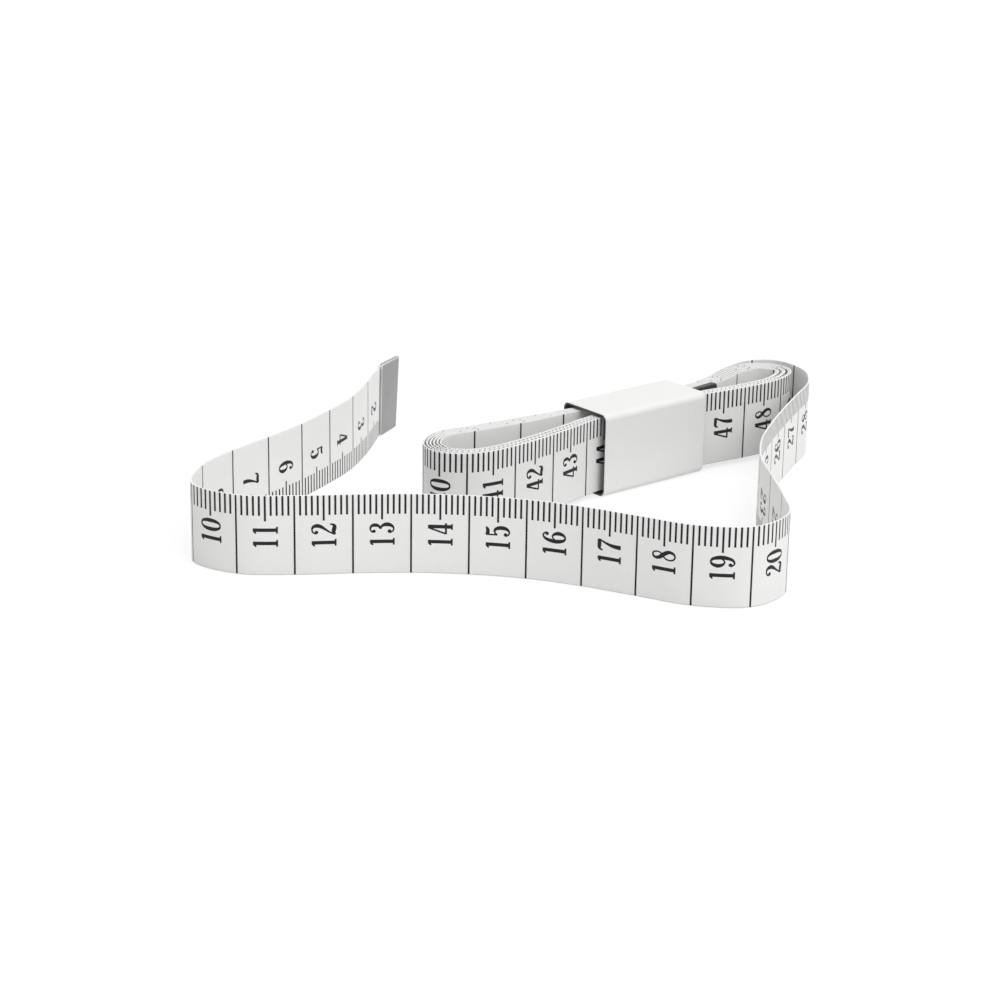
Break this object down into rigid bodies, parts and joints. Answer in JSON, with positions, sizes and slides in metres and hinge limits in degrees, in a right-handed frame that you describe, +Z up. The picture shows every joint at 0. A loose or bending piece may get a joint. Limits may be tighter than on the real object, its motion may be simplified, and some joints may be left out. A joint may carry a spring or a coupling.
{
  "type": "cloth tape measure",
  "caption": "Woven tape measure standing on its edge: free end in loose bends, the rest wound in a flat hank held by a sliding plastic sleeve, a metal tip on each end.",
  "frame": {"origin": "middle of the object's box, on the table that it stands on", "axes": "+Z up, X along the hank and the sleeve, with the free stretch reaching out to -X, -Y and +Y"},
  "size_m": [0.1356, 0.1168, 0.0161],
  "materials": {
    "woven_tape": "coated woven cloth, printed in black",
    "tip_metal": "satin nickel",
    "sleeve_plastic": "glossy white"
  },
  "bodies": {
    "tape": {"tape_free_stretch": "woven_tape", "tape_hank": "woven_tape", "zero_end_tip": "tip_metal", "far_end_tip": "tip_metal"},
    "sleeve": {"sleeve": "sleeve_plastic"}
  },
  "joints": [
    {"name": "sleeve_slide", "type": "slide", "parent": "tape", "child": "sleeve", "axis": [1, 0, 0], "range_m": [-0.0035, 0.0045]}
  ]
}
